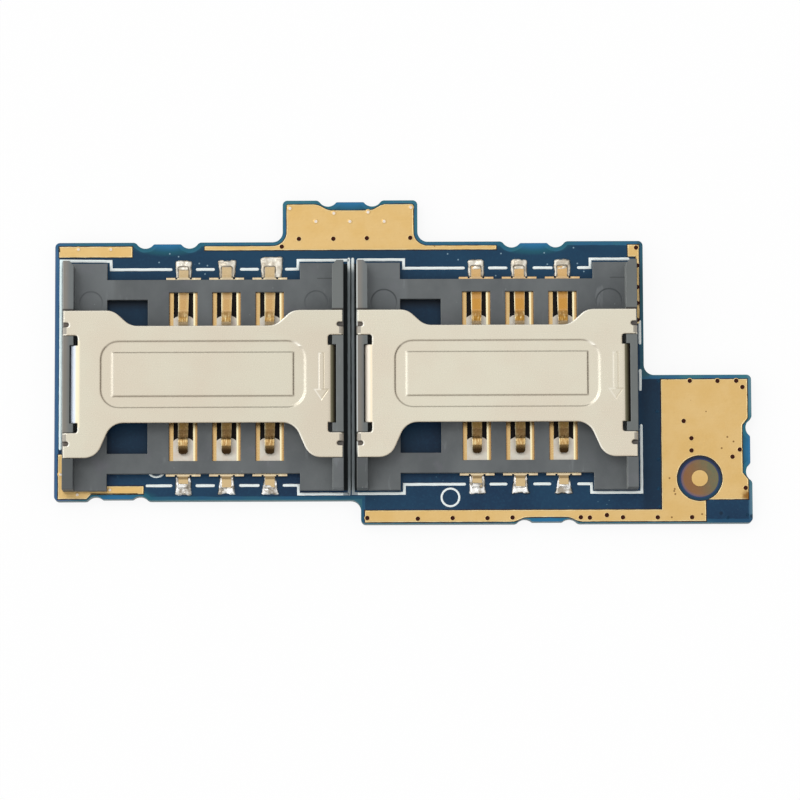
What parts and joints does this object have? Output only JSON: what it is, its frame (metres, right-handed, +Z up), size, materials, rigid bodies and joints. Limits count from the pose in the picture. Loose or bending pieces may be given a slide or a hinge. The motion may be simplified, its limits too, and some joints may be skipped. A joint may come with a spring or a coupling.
{
  "type": "card socket board",
  "caption": "Thin circuit board with card sockets side by side: moulded frames with sprung contacts under folded metal covers that hold the cards.",
  "frame": {"origin": "middle of the board's outline, on its underside", "axes": "+X along the board's long side, from the left socket to the right one; +Y towards the tab, the side on which the cards enter; +Z up, through the board to the covers"},
  "size_m": [0.041, 0.0192, 0.0023],
  "materials": {
    "board": "glass-fibre laminate under dark blue solder mask, satin gloss",
    "bare_copper": "thin gold plating on copper, satin",
    "housing": "dark grey moulded heat-resistant plastic, fine matt grain",
    "cover": "satin champagne-toned stainless sheet",
    "contact": "gold-plated spring bronze, bright at the edges",
    "solder": "bright uneven solder"
  },
  "bodies": {
    "root": {"circuit_board": "board", "ground_pad_tab": "bare_copper", "ground_pad_upper_left": "bare_copper", "ground_pad_lower_left": "bare_copper", "ground_pad_upper_right": "bare_copper", "ground_pad_right": "bare_copper", "alignment_mark": "bare_copper", "housing_left": "housing", "housing_right": "housing", "cover_left": "cover", "cover_right": "cover", "contact_left_1": "contact", "contact_left_2": "contact", "contact_left_3": "contact", "contact_left_4": "contact", "contact_left_5": "contact", "contact_left_6": "contact", "contact_right_1": "contact", "contact_right_2": "contact", "contact_right_3": "contact", "contact_right_4": "contact", "contact_right_5": "contact", "contact_right_6": "contact", "solder_left_1": "solder", "solder_left_2": "solder", "solder_left_3": "solder", "solder_left_4": "solder", "solder_left_5": "solder", "solder_left_6": "solder", "solder_right_1": "solder", "solder_right_2": "solder", "solder_right_3": "solder", "solder_right_4": "solder", "solder_right_5": "solder", "solder_right_6": "solder"}
  },
  "joints": []
}
